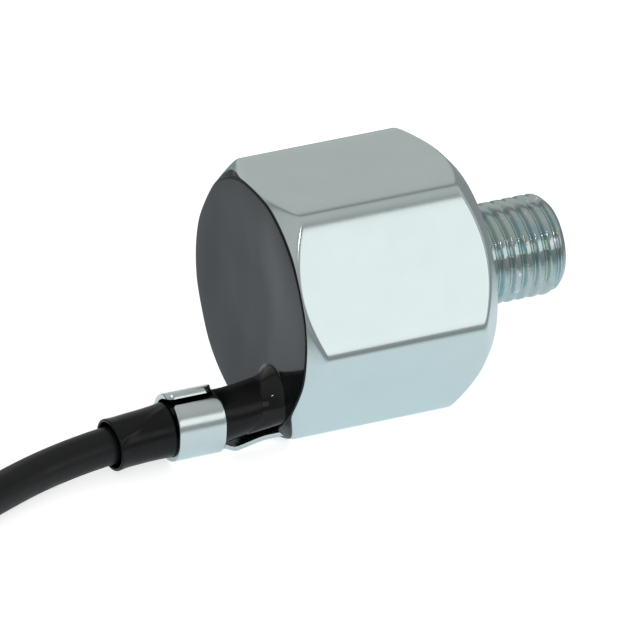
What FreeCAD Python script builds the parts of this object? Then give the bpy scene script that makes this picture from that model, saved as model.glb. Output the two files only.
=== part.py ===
"""Screw-in engine knock sensor with a potted cable and its lead connector.

The steel body is a hexagonal cup with a threaded stud, lying on one flat. The stud points
along +X, +Z is up and the origin is the centre of the seat face at the foot of the stud.
The cup holds a clamped piezo stack, is potted with resin, and the cable leaves the resin
at one corner of the hexagon under a crimped strap. Lengths are in millimetres.
"""
import FreeCAD, Part
import math
import os
import Sketcher

Vector = FreeCAD.Vector
Rotation = FreeCAD.Rotation
Placement = FreeCAD.Placement

# Driving dimensions: name and value, in millimetres or degrees
SIZES = [
    # Hexagonal body and stud
    ("across_flats", 24.0),
    ("body_length", 20.8),
    ("edge_round", 1.45),
    ("rim_margin", 0.1),
    ("seat_margin", 1.25),
    ("chamfer_slope", 0.9),
    ("stud_radius", 4.9),
    ("stud_length", 10.6),
    ("stud_chamfer", 0.9),
    # Cavity, rim notch and strap slot
    ("floor_thickness", 6.0),
    ("cup_wall", 0.8),
    ("rim_wall", 0.15),
    ("mouth_depth", 0.65),
    ("notch_depth", 1.0),
    ("notch_width", 6.2),
    ("slot_depth", 3.0),
    ("slot_clearance", 0.1),
    # Resin face and the collar round the cable
    ("meniscus_depth", 0.25),
    ("meniscus_width", 1.2),
    ("meniscus_round", 2.5),
    ("collar_radius", 3.4),
    ("collar_flange", 0.4),
    ("collar_length", 2.4),
    ("collar_fillet", 0.5),
    ("collar_neck", 0.3),
    ("collar_lip", 0.12),
    # Cable, sleeve and strap
    ("cable_radius", 1.85),
    ("cable_side", 5.2),
    ("sleeve_radius", 2.5),
    ("sleeve_bore", 2.05),
    ("sleeve_depth", 0.9),
    ("sleeve_length", 18.3),
    ("strap_thickness", 0.5),
    ("strap_lift", 0.05),
    ("crimp_clearance", 0.02),
    ("clip_gap", 6.25),
    ("clip_length", 4.85),
    ("clip_rise", 0.6),
    ("near_tip_angle", 25.0),
    ("rear_tip_angle", 8.0),
    ("wing_round", 0.8),
    ("tongue_width", 2.8),
    ("tongue_step", 0.65),
    ("tongue_flat", 2.4),
    ("tongue_ramp", 2.4),
    # Clamped stack
    ("insulator_radius", 8.0),
    ("insulator_thickness", 0.3),
    ("contact_radius", 7.75),
    ("contact_thickness", 0.3),
    ("piezo_radius", 7.5),
    ("piezo_thickness", 3.0),
    ("stack_bore", 3.0),
    ("tube_wall", 0.35),
    ("tube_clearance", 0.05),
    ("mass_radius", 7.75),
    ("mass_thickness", 4.0),
    ("mass_bore", 2.7),
    ("spring_radius", 5.5),
    ("spring_thickness", 0.5),
    ("spring_cone", 0.3),
    ("screw_radius", 2.5),
    ("screw_head_radius", 4.25),
    ("screw_head_height", 3.0),
    ("screw_engagement", 3.4),
    ("screw_tip_gap", 0.3),
    ("drive_radius", 2.0),
    ("drive_depth", 1.6),
    # Contact tabs, inner wires and resistor
    ("tab_reach", 10.2),
    ("tab_width", 1.6),
    ("wire_circle", 9.3),
    ("wire_radius", 0.5),
    ("wire_spacing", 1.5),
    ("signal_angle", 142.0),
    ("ground_angle", 158.0),
    ("resistor_angle", 330.0),
    ("resistor_radius", 0.7),
    # Stored coil and its tie
    ("coil_radius", 19.5),
    ("coil_reach", 58.7),
    ("coil_side", 11.3),
    ("coil_lift", 0.6),
    ("coil_round", 1.1),
    ("tie_width", 3.0),
    ("tie_thickness", 0.5),
    ("tie_clearance", 0.1),
    ("tie_head", 4.0),
    # Connector on the cable's far end
    ("plug_reach", 47.2),
    ("plug_side", 31.9),
    ("plug_axis", 5.3),
    ("plug_collar_radius", 5.0),
    ("plug_collar_length", 3.0),
    ("plug_length", 19.0),
    ("plug_width", 12.4),
    ("plug_height", 10.4),
    ("plug_round", 1.6),
    ("nose_length", 5.0),
    ("nose_width", 10.0),
    ("nose_height", 7.4),
    ("nose_round", 1.4),
    ("seal_bore", 4.0),
    ("seal_length", 7.0),
    ("seal_rib", 0.5),
    ("cavity_side", 2.2),
    ("cavity_pitch", 4.4),
    ("terminal_side", 2.0),
    ("terminal_bore", 0.6),
    ("lock_thickness", 0.9),
    ("ring_thickness", 0.9),
    ("ring_width", 2.4),
    ("latch_width", 4.2),
    ("latch_length", 13.0),
    ("latch_thickness", 1.2),
    ("latch_gap", 1.0),
]

# The cable's centre line from its end in the resin to the coil, chosen point by point:
# X from the rim, Y from the sleeve's side of the body, Z above what the part lies on
CABLE_ROUTE = [
    Vector(3.8, 0.0, 5.0),
    Vector(-5.7, 0.0, 3.15),
    Vector(-15.7, 0.0, 3.05),
    Vector(-24.2, -1.0, 2.15),
    Vector(-32.2, -4.4, 1.9),
    Vector(-41.7, -9.1, 2.0),
    Vector(-50.2, -11.2, 2.45),
    Vector(-56.2, -11.15, 2.52),
]

# The cable's centre line from the top of the coil into the connector's seal, counted alike
TAIL_ROUTE = [
    Vector(-71.1, 23.3, 6.15),
    Vector(-65.8, 27.7, 6.15),
    Vector(-59.9, 30.2, 5.7),
    Vector(-51.7, 31.9, 5.3),
    Vector(-46.2, 31.9, 5.3),
    Vector(-40.2, 31.9, 5.3),
]

doc = FreeCAD.newDocument("knock_sensor")
sizes = doc.addObject("Spreadsheet::Sheet", "sizes")
for row, (alias, value) in enumerate(SIZES, start=1):
    sizes.set("A%d" % row, alias)
    sizes.set("B%d" % row, str(value))
    sizes.setAlias("B%d" % row, alias)
doc.recompute()


def number(expression):
    """The value of an expression over the sheet's cells."""
    return float(sizes.evalExpression(str(expression)))


# Stations along the body's axis, from the seat at 0 to the rim
RIM = "-sizes.body_length"
FLOOR = "-sizes.floor_thickness"
LOWER_CONTACT = FLOOR + " - sizes.insulator_thickness"
PIEZO = LOWER_CONTACT + " - sizes.contact_thickness"
UPPER_CONTACT = PIEZO + " - sizes.piezo_thickness"
UPPER_INSULATOR = UPPER_CONTACT + " - sizes.contact_thickness"
MASS = UPPER_INSULATOR + " - sizes.insulator_thickness"
SPRING = MASS + " - sizes.mass_thickness"
SCREW_HEAD = SPRING + " - sizes.spring_thickness - sizes.spring_cone"
NOTCH_FLOOR = RIM + " + sizes.notch_depth"
MOUTH_FLOOR = RIM + " + sizes.mouth_depth"

# Radii that follow the hexagon: rim, seat, bore and the bore's mouth
RIM_RADIUS = "(sizes.across_flats / 2 + sizes.rim_margin)"
SEAT_RADIUS = "(sizes.across_flats / 2 - sizes.seat_margin)"
BORE_RADIUS = "(sizes.across_flats / 2 - sizes.cup_wall)"
MOUTH_RADIUS = "(sizes.across_flats / 2 - sizes.rim_wall)"

# Heights under the cable: what the part lies on, the strap and the sleeve's centre
GROUND = "-sizes.across_flats / 2"
CABLE_Y = "-sizes.cable_side"
STRAP_BOTTOM = GROUND + " + sizes.strap_lift"
CLIP_RADIUS = "sizes.sleeve_radius + sizes.crimp_clearance"
CLIP_CENTRE = "(%s + sizes.strap_thickness + %s)" % (STRAP_BOTTOM, CLIP_RADIUS)
TONGUE_BOTTOM = STRAP_BOTTOM + " + sizes.tongue_step"
CLIP_START = RIM + " - sizes.clip_gap"


def origin_plane(body, role):
    """One of a body's own three origin planes."""
    for feature in body.Origin.OriginFeatures:
        if feature.Role == role:
            return feature
    raise ValueError(role)


def outline(body, name, role, corners, offset="0"):
    """A closed polygon on an origin plane, each corner held by two expressions."""
    sketch = body.newObject("Sketcher::SketchObject", name)
    sketch.AttachmentSupport = (origin_plane(body, role), [""])
    sketch.MapMode = "FlatFace"
    sketch.setExpression("AttachmentOffset.Base.z", offset)
    points = [Vector(number(across), number(along), 0) for across, along in corners]
    count = len(points)
    for index in range(count):
        line = Part.LineSegment(points[index], points[(index + 1) % count])
        sketch.addGeometry(line, False)
    for index in range(count):
        sketch.addConstraint(Sketcher.Constraint("Coincident", index, 2, (index + 1) % count, 1))
    for index in range(count):
        for kind, place, text in (("DistanceX", points[index].x, corners[index][0]),
                                  ("DistanceY", points[index].y, corners[index][1])):
            held = sketch.addConstraint(Sketcher.Constraint(kind, -1, 1, index, 1, place))
            sketch.setExpression("Constraints[%d]" % held, text)
    return sketch


def new_body(name):
    body = doc.addObject("PartDesign::Body", name)
    body.Label = name
    return body


def revolve(body, kind, name, corners):
    """Turn a half section, given as pairs of station and radius, about the X axis."""
    sketch = outline(body, name + "_section", "XZ_Plane", corners)
    feature = body.newObject("PartDesign::" + kind, name)
    feature.Profile = sketch
    feature.ReferenceAxis = (sketch, ["H_Axis"])
    feature.Angle = 360
    doc.recompute()
    return feature


def extrude(body, kind, name, corners, length, offset="0", role="YZ_Plane", reverse=False, midplane=False):
    """Pad or pocket a polygon; a pad on the YZ plane grows along +X, a pocket along -X."""
    sketch = outline(body, name + "_section", role, corners, offset)
    feature = body.newObject("PartDesign::" + kind, name)
    feature.Profile = sketch
    feature.setExpression("Length", length)
    feature.Reversed = reverse
    feature.Midplane = midplane
    doc.recompute()
    return feature


def round_edges(body, name, base, radius, wanted):
    """Fillet the edges of a feature that the given test picks."""
    names = ["Edge%d" % (i + 1) for i, edge in enumerate(base.Shape.Edges) if wanted(edge)]
    feature = body.newObject("PartDesign::Fillet", name)
    feature.Base = (base, names)
    feature.setExpression("Radius", radius)
    doc.recompute()
    return feature


def turned(name, corners):
    """A turned piece centred on the X axis."""
    body = new_body(name)
    revolve(body, "Revolution", name + "_turning", corners)
    return body


def washer(name, start, outer, inner, thickness):
    """A flat ring whose face nearest the seat lies at the start station."""
    end = "%s - (%s)" % (start, thickness)
    return turned(name, [(start, inner), (start, outer), (end, outer), (end, inner)])


def box_corners(low_across, high_across, low_along, high_along):
    return [(low_across, low_along), (high_across, low_along),
            (high_across, high_along), (low_across, high_along)]


def runs_along(edge, axis):
    """True for a straight edge parallel to the axis."""
    if not isinstance(edge.Curve, Part.Line):
        return False
    return abs(abs(edge.Curve.Direction.dot(axis)) - 1) < 1e-6


def fuse(name, pieces):
    joined = doc.addObject("Part::MultiFuse", name)
    joined.Shapes = pieces
    joined.Refine = True
    joined.Label = name
    doc.recompute()
    return joined


def cut(name, base, tool):
    result = doc.addObject("Part::Cut", name)
    result.Base = base
    result.Tool = tool
    result.Label = name
    doc.recompute()
    return result


def common(name, first, second):
    result = doc.addObject("Part::Common", name)
    result.Base = first
    result.Tool = second
    result.Label = name
    doc.recompute()
    return result


def bind_place(piece, across="0", along="0", up="0"):
    for axis, text in (("x", across), ("y", along), ("z", up)):
        piece.setExpression("Placement.Base." + axis, text)


def box(name, corner, lengths):
    """A block from its low corner and three lengths, all expressions."""
    block = doc.addObject("Part::Box", name)
    bind_place(block, *corner)
    for side, text in zip(("Length", "Width", "Height"), lengths):
        block.setExpression(side, text)
    return block


def bar(name, radius, length, start="0", across="0", up="0"):
    """A round bar along +X."""
    rod = doc.addObject("Part::Cylinder", name)
    rod.Placement = Placement(Vector(), Rotation(Vector(0, 1, 0), 90))
    rod.setExpression("Radius", radius)
    rod.setExpression("Height", length)
    bind_place(rod, start, across, up)
    return rod


def rounded_path(points):
    """Straight runs joined by tangent arcs as large as the two runs at a corner allow."""
    edges = []
    start = points[0]
    for before, corner, after in zip(points, points[1:], points[2:]):
        back = before - corner
        ahead = after - corner
        reach = 0.45 * min(back.Length, ahead.Length)
        turn = math.pi - back.getAngle(ahead)
        if turn < 0.001:
            continue
        radius = reach / math.tan(turn / 2)
        print("arc radius %.1f mm at %.1f %.1f %.1f" % (radius, corner.x, corner.y, corner.z))
        back.normalize()
        ahead.normalize()
        bisector = back + ahead
        bisector.normalize()
        first = corner + back * reach
        last = corner + ahead * reach
        centre_distance = math.hypot(radius, reach)
        middle = corner + bisector * (centre_distance - radius)
        edges.append(Part.LineSegment(start, first).toShape())
        edges.append(Part.Arc(first, middle, last).toShape())
        start = last
    edges.append(Part.LineSegment(start, points[-1]).toShape())
    return Part.Wire(edges)


def placed(route):
    """A route's points, counted from the rim, the sleeve's side and the ground."""
    origin = Vector(number(RIM), number(CABLE_Y), number(GROUND))
    return [origin + point for point in route]


def path_feature(name, points):
    path = doc.addObject("Part::Feature", name)
    path.Shape = rounded_path(points)
    return path


def sweep(name, path, radius):
    """A round solid of the given radius along a path."""
    start = path.Shape.Edges[0]
    ring = doc.addObject("Part::Circle", name + "_section")
    ring.Placement = Placement(start.valueAt(0), Rotation(Vector(0, 0, 1), start.tangentAt(0)))
    ring.setExpression("Radius", radius)
    tube = doc.addObject("Part::Sweep", name)
    tube.Sections = [ring]
    tube.Spine = (path, ["Edge%d" % (i + 1) for i in range(len(path.Shape.Edges))])
    tube.Solid = True
    tube.Frenet = False
    tube.Label = name
    doc.recompute()
    return tube


def polar(radius, sideways, angle):
    """Y and Z of a point: the angle goes from +Z towards -Y, sideways is across the radius."""
    across = "-(%s) * sin(%s) + (%s) * cos(%s)" % (radius, angle, sideways, angle)
    up = "(%s) * cos(%s) + (%s) * sin(%s)" % (radius, angle, sideways, angle)
    return across, up


def hexagon_bar(name):
    """A hexagonal bar with softly rounded long edges, from the seat plane towards -X."""
    body = new_body(name)
    corners = [polar("sizes.across_flats / sqrt(3)", "0", str(angle)) for angle in range(30, 390, 60)]
    blank = extrude(body, "Pad", name + "_blank", corners, "sizes.body_length", reverse=True)
    along_axis = Vector(1, 0, 0)
    round_edges(body, name + "_rounds", blank, "sizes.edge_round", lambda edge: runs_along(edge, along_axis))
    return body


def notch_corners():
    """The rim notch seen along X: it opens the wall from the bore out through the corner."""
    half = "sizes.notch_width / 2"
    return box_corners("-sizes.cable_side - %s" % half, "-sizes.cable_side + %s" % half,
                       "-sizes.across_flats", "-%s / 2" % BORE_RADIUS)


def hex_housing():
    body = hexagon_bar("hex_housing")
    wide = "sizes.across_flats"
    slope = "sizes.chamfer_slope"
    revolve(body, "Groove", "rim_chamfer",
            [(RIM, RIM_RADIUS), (RIM, wide),
             ("%s + (%s - %s) * %s" % (RIM, wide, RIM_RADIUS, slope), wide)])
    revolve(body, "Groove", "seat_chamfer",
            [("0", SEAT_RADIUS), ("0", wide),
             ("-(%s - %s) * %s" % (wide, SEAT_RADIUS, slope), wide)])
    revolve(body, "Revolution", "stud",
            [("-sizes.stud_radius / 2", "0"), ("-sizes.stud_radius / 2", "sizes.stud_radius"),
             ("sizes.stud_length - sizes.stud_chamfer", "sizes.stud_radius"),
             ("sizes.stud_length", "sizes.stud_radius - sizes.stud_chamfer"),
             ("sizes.stud_length", "0")])
    hole_end = "(%s + sizes.screw_engagement + sizes.screw_tip_gap)" % FLOOR
    revolve(body, "Groove", "cavity",
            [(RIM, "0"), (RIM, MOUTH_RADIUS), (MOUTH_FLOOR, BORE_RADIUS),
             (FLOOR, BORE_RADIUS), (FLOOR, "sizes.screw_radius"),
             (hole_end, "sizes.screw_radius"), (hole_end, "0")])
    extrude(body, "Pocket", "rim_notch", notch_corners(), "sizes.notch_depth", offset=RIM, reverse=True)
    half = "(sizes.tongue_width / 2 + sizes.slot_clearance)"
    slot = box_corners("-sizes.cable_side - " + half, "-sizes.cable_side + " + half,
                       TONGUE_BOTTOM + " - sizes.slot_clearance",
                       TONGUE_BOTTOM + " + sizes.strap_thickness + sizes.slot_clearance")
    extrude(body, "Pocket", "strap_slot", slot, "sizes.slot_depth", offset=NOTCH_FLOOR, reverse=True)
    return body


def contact(name, start, wire_angle):
    """A round contact plate with one tab for its wire and one for the resistor."""
    body = washer(name, start, "sizes.contact_radius", "sizes.stack_bore", "sizes.contact_thickness")
    half = "sizes.tab_width / 2"
    root = "sizes.contact_radius - sizes.tab_width"
    for label, angle in (("_wire_tab", wire_angle), ("_resistor_tab", "sizes.resistor_angle")):
        corners = [polar(root, "-" + half, angle), polar("sizes.tab_reach", "-" + half, angle),
                   polar("sizes.tab_reach", half, angle), polar(root, half, angle)]
        extrude(body, "Pad", name + label, corners, "sizes.contact_thickness", offset=start, reverse=True)
    return body


def clamp_stack():
    """Everything that the clamp screw holds to the cup's floor."""
    bore = "sizes.stack_bore"
    pieces = [
        washer("lower_insulator", FLOOR, "sizes.insulator_radius", bore, "sizes.insulator_thickness"),
        contact("lower_contact", LOWER_CONTACT, "sizes.ground_angle"),
        washer("piezo_ring", PIEZO, "sizes.piezo_radius", bore, "sizes.piezo_thickness"),
        contact("upper_contact", UPPER_CONTACT, "sizes.signal_angle"),
        washer("upper_insulator", UPPER_INSULATOR, "sizes.insulator_radius", bore,
               "sizes.insulator_thickness"),
        washer("seismic_mass", MASS, "sizes.mass_radius", "sizes.mass_bore", "sizes.mass_thickness"),
    ]
    tube_outer = "(sizes.stack_bore - sizes.tube_clearance)"
    tube_length = "%s - (%s) - 2 * sizes.tube_clearance" % (FLOOR, MASS)
    pieces.append(washer("insulating_tube", FLOOR + " - sizes.tube_clearance", tube_outer,
                         tube_outer + " - sizes.tube_wall", tube_length))
    spring_rim = SPRING + " - sizes.spring_thickness"
    pieces.append(turned("disc_spring", [
        (SPRING, "sizes.spring_radius"),
        (spring_rim, "sizes.spring_radius"),
        (SCREW_HEAD, "sizes.mass_bore"),
        (SPRING + " - sizes.spring_cone", "sizes.mass_bore")]))
    return pieces


def clamp_screw():
    """Socket-headed screw that loads the stack against the cup's floor."""
    head_top = "%s - sizes.screw_head_height" % SCREW_HEAD
    tip = "%s + sizes.screw_engagement" % FLOOR
    body = turned("clamp_screw", [
        (head_top, "0"), (head_top, "sizes.screw_head_radius"), (SCREW_HEAD, "sizes.screw_head_radius"),
        (SCREW_HEAD, "sizes.screw_radius"), (tip, "sizes.screw_radius"), (tip, "0")])
    corners = [polar("sizes.drive_radius / cos(30)", "0", str(angle)) for angle in range(0, 360, 60)]
    extrude(body, "Pocket", "screw_drive", corners, "sizes.drive_depth", offset=head_top, reverse=True)
    return body


def stack_envelope():
    """The clamped stack's outer shape, which the resin doesn't enter."""
    head_top = "%s - sizes.screw_head_height" % SCREW_HEAD
    return turned("stack_envelope", [
        (FLOOR, "0"), (FLOOR, "sizes.insulator_radius"),
        (LOWER_CONTACT, "sizes.insulator_radius"), (LOWER_CONTACT, "sizes.contact_radius"),
        (PIEZO, "sizes.contact_radius"), (PIEZO, "sizes.piezo_radius"),
        (UPPER_CONTACT, "sizes.piezo_radius"), (UPPER_CONTACT, "sizes.contact_radius"),
        (UPPER_INSULATOR, "sizes.contact_radius"), (UPPER_INSULATOR, "sizes.insulator_radius"),
        (MASS, "sizes.insulator_radius"), (MASS, "sizes.mass_radius"),
        (SPRING, "sizes.mass_radius"), (SPRING, "sizes.spring_radius"),
        (SCREW_HEAD, "sizes.spring_radius"), (SCREW_HEAD, "sizes.screw_head_radius"),
        (head_top, "sizes.screw_head_radius"), (head_top, "0")])


def shunt_resistor():
    """Small round resistor soldered between the two resistor tabs."""
    across, up = polar("sizes.wire_circle", "0", "sizes.resistor_angle")
    return bar("shunt_resistor", "sizes.resistor_radius", "sizes.piezo_thickness", UPPER_CONTACT, across, up)


def inner_wire(name, side, angle, end):
    """One insulated lead from the cable's end face to its contact tab."""
    cable_end, cable_next = placed(CABLE_ROUTE[:2])
    out = cable_end - cable_next
    out.normalize()
    start = cable_end + Vector(0, side * number("sizes.wire_spacing") / 2, 0)
    across, up = polar("sizes.wire_circle", "0", angle)
    lane = Vector(0, number(across), number(up))
    lead = 4 * number("sizes.wire_radius")
    bend = start + out * lead
    landing = Vector(bend.x + lead, lane.y, lane.z)
    path = path_feature(name + "_path", [start, bend, landing, Vector(number(end), lane.y, lane.z)])
    return sweep(name, path, "sizes.wire_radius")


def cable_sleeve(path):
    """Boot sleeve: a tube round the cable, cut square at both ends."""
    outer = sweep("sleeve_outer", path, "sizes.sleeve_radius")
    inner = sweep("sleeve_inner", path, "sizes.sleeve_bore")
    wide = "sizes.across_flats"
    mouth = RIM + " + sizes.sleeve_depth - sizes.sleeve_length"
    slab = box("sleeve_slab", (mouth, "-" + wide, "-" + wide),
               ("sizes.sleeve_length", "2 * " + wide, "2 * " + wide))
    doc.recompute()
    plug = common("sleeve_plug", outer, slab)
    return plug, cut("cable_sleeve", plug, inner)


def clip_shell(name, extra):
    """The clip's inside, or with extra set its outside: a tall round-ended bar."""
    radius = "(%s + %s)" % (CLIP_RADIUS, extra)
    start = "%s - sizes.clip_length" % CLIP_START
    side = "-sizes.cable_side"
    low = bar(name + "_low", radius, "sizes.clip_length", start, side, CLIP_CENTRE)
    high = bar(name + "_high", radius, "sizes.clip_length", start, side, CLIP_CENTRE + " + sizes.clip_rise")
    middle = box(name + "_middle", (start, "%s - %s" % (side, radius), CLIP_CENTRE),
                 ("sizes.clip_length", "2 * " + radius, "sizes.clip_rise"))
    doc.recompute()
    return fuse(name, [low, high, middle])


def strain_relief_strap():
    """Folded strap: a tongue that steps up into the body and a clip with two curled wings."""
    shell = cut("clip_shell", clip_shell("clip_outside", "sizes.strap_thickness"), clip_shell("clip_inside", "0"))
    gap = new_body("wing_gap")
    far = "3 * sizes.sleeve_radius"
    centre = "(%s + sizes.clip_rise)" % CLIP_CENTRE
    near = ("-sizes.cable_side - %s * sin(sizes.near_tip_angle)" % far,
            "%s + %s * cos(sizes.near_tip_angle)" % (centre, far))
    rear = ("-sizes.cable_side + %s * sin(sizes.rear_tip_angle)" % far,
            "%s + %s * cos(sizes.rear_tip_angle)" % (centre, far))
    extrude(gap, "Pad", "wing_gap_wedge", [("-sizes.cable_side", centre), near, rear],
            "sizes.clip_length", offset="%s - sizes.clip_length" % CLIP_START)
    open_clip = cut("open_clip", shell, gap)
    tips = []
    for index, edge in enumerate(open_clip.Shape.Edges):
        middle = edge.valueAt((edge.FirstParameter + edge.LastParameter) / 2)
        short = edge.Length < 1.2 * number("sizes.strap_thickness")
        if short and middle.z > number(centre) and isinstance(edge.Curve, Part.Line):
            tips.append((index + 1, number("sizes.wing_round"), number("sizes.wing_round")))
    rounded = doc.addObject("Part::Fillet", "rounded_clip")
    rounded.Base = open_clip
    rounded.Edges = tips
    doc.recompute()
    flat_end = CLIP_START + " + sizes.tongue_flat"
    ramp_end = flat_end + " + sizes.tongue_ramp"
    inner_end = NOTCH_FLOOR + " + sizes.slot_depth - sizes.slot_clearance"
    thick = " + sizes.strap_thickness"
    tongue = new_body("tongue")
    blank = extrude(tongue, "Pad", "tongue_strip", [
        (CLIP_START + " - sizes.clip_length / 2", STRAP_BOTTOM), (flat_end, STRAP_BOTTOM),
        (ramp_end, TONGUE_BOTTOM), (inner_end, TONGUE_BOTTOM), (inner_end, TONGUE_BOTTOM + thick),
        (ramp_end, TONGUE_BOTTOM + thick), (flat_end, STRAP_BOTTOM + thick),
        (CLIP_START + " - sizes.clip_length / 2", STRAP_BOTTOM + thick)],
        "sizes.tongue_width", offset="sizes.cable_side", role="XZ_Plane", midplane=True)
    across_axis = Vector(0, 1, 0)
    bends = (number(flat_end), number(ramp_end))

    def at_bend(edge):
        if not runs_along(edge, across_axis):
            return False
        return min(abs(edge.Vertexes[0].X - place) for place in bends) < 0.01

    round_edges(tongue, "tongue_bends", blank, "2 * sizes.strap_thickness", at_bend)
    return fuse("strain_relief_strap", [rounded, tongue])


def resin_collar():
    """The resin that climbs the sleeve: a flange with a hollow fillet, on the cable's axis."""
    body = new_body("resin_collar")
    inside = "sizes.sleeve_bore"
    neck = "sizes.sleeve_radius + sizes.collar_neck"
    lip = "sizes.sleeve_radius + sizes.collar_lip"
    blank = revolve(body, "Revolution", "collar_turning", [
        ("0", inside), ("0", "sizes.collar_radius"), ("sizes.collar_flange", "sizes.collar_radius"),
        ("sizes.collar_flange", neck), ("sizes.collar_length", lip),
        ("sizes.collar_length", inside)])

    def inner_corner(edge):
        if not isinstance(edge.Curve, Part.Circle):
            return False
        return abs(edge.Curve.Radius - number(neck)) < 0.001

    round_edges(body, "collar_hollow", blank, "sizes.collar_fillet", inner_corner)
    first, second = placed(CABLE_ROUTE[:2])
    along = second - first
    along.normalize()
    start = number(NOTCH_FLOOR) - number("sizes.collar_radius") * abs(along.z)
    foot = first + along * ((start - first.x) / along.x)
    body.Placement = Placement(foot, Rotation(Vector(1, 0, 0), along))
    doc.recompute()
    return body


def potting_resin(tools):
    """Cast resin: it fills the cup and the notch, dips in the middle and climbs the sleeve."""
    dip = RIM + " + sizes.meniscus_depth"
    fill = new_body("resin_fill")
    dish = MOUTH_RADIUS + " - sizes.meniscus_width"
    blank = revolve(fill, "Revolution", "resin_turning", [
        (FLOOR, "0"), (FLOOR, BORE_RADIUS), (MOUTH_FLOOR, BORE_RADIUS),
        (RIM, MOUTH_RADIUS), (dip, dish), (dip, "0")])

    def meniscus(edge):
        if not isinstance(edge.Curve, Part.Circle):
            return False
        return abs(edge.Curve.Radius - number(dish)) < 0.001

    round_edges(fill, "meniscus", blank, "sizes.meniscus_round", meniscus)
    notch = new_body("notch_block")
    extrude(notch, "Pad", "notch_block_pad", notch_corners(), "sizes.notch_depth", offset=RIM)
    ring = new_body("notch_ring")
    extrude(ring, "Pad", "notch_ring_pad", notch_corners(), "sizes.notch_depth", offset=RIM)
    revolve(ring, "Groove", "notch_ring_bore", [
        (RIM, "0"), (RIM, BORE_RADIUS), (NOTCH_FLOOR, BORE_RADIUS), (NOTCH_FLOOR, "0")])
    plug = common("notch_plug", hexagon_bar("resin_hexagon"), ring)
    poured = fuse("poured_resin", [fill, plug, resin_collar()])
    return cut("potting_resin", poured, fuse("resin_tools", tools))


# The coil's centre, where the cable's route meets the ring at a tangent
COIL_X = RIM + " - sizes.coil_reach"
COIL_Y = CABLE_Y + " - sizes.coil_side + sizes.coil_radius"


def cable_coil():
    """Outer shape of the stored coil: two turns, one on the other."""
    body = new_body("cable_coil")
    inner = "sizes.coil_radius - sizes.cable_radius"
    outer = "sizes.coil_radius + sizes.cable_radius"
    low = GROUND + " + sizes.coil_lift"
    sketch = outline(body, "coil_section", "XZ_Plane",
                     box_corners(inner, outer, low, low + " + 4 * sizes.cable_radius"))
    ring = body.newObject("PartDesign::Revolution", "coil_ring")
    ring.Profile = sketch
    ring.ReferenceAxis = (sketch, ["V_Axis"])
    ring.Angle = 360
    doc.recompute()
    round_edges(body, "coil_rounds", ring, "sizes.coil_round",
                lambda edge: isinstance(edge.Curve, Part.Circle))
    bind_place(body, COIL_X, COIL_Y)
    doc.recompute()
    return body


def cable_tie():
    """Plastic tie round both turns at the coil's far side, with its head outside."""
    reach = "(sizes.cable_radius + sizes.tie_clearance)"
    low = GROUND + " + sizes.coil_lift - sizes.tie_clearance / 2"
    high = "4 * sizes.cable_radius + sizes.tie_clearance"
    middle = COIL_X + " - sizes.coil_radius"
    start = COIL_Y + " - sizes.tie_width / 2"
    thick = "sizes.tie_thickness"
    hole = box("tie_hole", ("%s - %s" % (middle, reach), start, low), ("2 * " + reach, "sizes.tie_width", high))
    band = box("tie_band", ("%s - %s - %s" % (middle, reach, thick), start, "%s - %s" % (low, thick)),
               ("2 * %s + 2 * %s" % (reach, thick), "sizes.tie_width", "%s + 2 * %s" % (high, thick)))
    doc.recompute()
    long_edges = [(i + 1, number(thick), number(thick)) for i, edge in enumerate(band.Shape.Edges)
                  if runs_along(edge, Vector(0, 1, 0))]
    soft = doc.addObject("Part::Fillet", "tie_band_rounds")
    soft.Base = band
    soft.Edges = long_edges
    head = box("tie_head", ("%s - %s - 3 * %s" % (middle, reach, thick),
                            COIL_Y + " - sizes.tie_head / 2", "%s + sizes.cable_radius" % low),
               ("3 * " + thick, "sizes.tie_head", "sizes.tie_head"))
    doc.recompute()
    return cut("cable_tie", fuse("tie_outside", [soft, head]), hole)


# Stations of the connector, along +X from its cable end, and the place of its axis
PLUG_Y = "(" + CABLE_Y + " + sizes.plug_side)"
PLUG_REAR = RIM + " - sizes.plug_reach"
PLUG_BLOCK = PLUG_REAR + " + sizes.plug_collar_length"
PLUG_NOSE = PLUG_BLOCK + " + sizes.plug_length"
PLUG_TIP = PLUG_NOSE + " + sizes.nose_length"
PLUG_UP = GROUND + " + sizes.plug_axis"
SEAL_END = PLUG_REAR + " + sizes.seal_length"


def centred_block(name, start, length, width, height, up=PLUG_UP):
    return box(name, (start, "%s - (%s) / 2" % (PLUG_Y, width), "%s - (%s) / 2" % (up, height)),
               (length, width, height))


def soft_block(name, radius, *args):
    """A block whose long edges are rounded."""
    block = centred_block(name + "_blank", *args)
    doc.recompute()
    soft = doc.addObject("Part::Fillet", name)
    soft.Base = block
    soft.Edges = [(i + 1, number(radius), number(radius)) for i, edge in enumerate(block.Shape.Edges)
                  if runs_along(edge, Vector(1, 0, 0))]
    doc.recompute()
    return soft


def terminal_side(side):
    """Y of one of the two terminals."""
    return "%s + (%d) * sizes.cavity_pitch / 2" % (PLUG_Y, side)


def lane_block(name, side, start, length, width):
    """A square bar on one terminal's line."""
    return box(name, (start, "%s - (%s) / 2" % (terminal_side(side), width), "%s - (%s) / 2" % (PLUG_UP, width)),
               (length, width, width))


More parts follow.
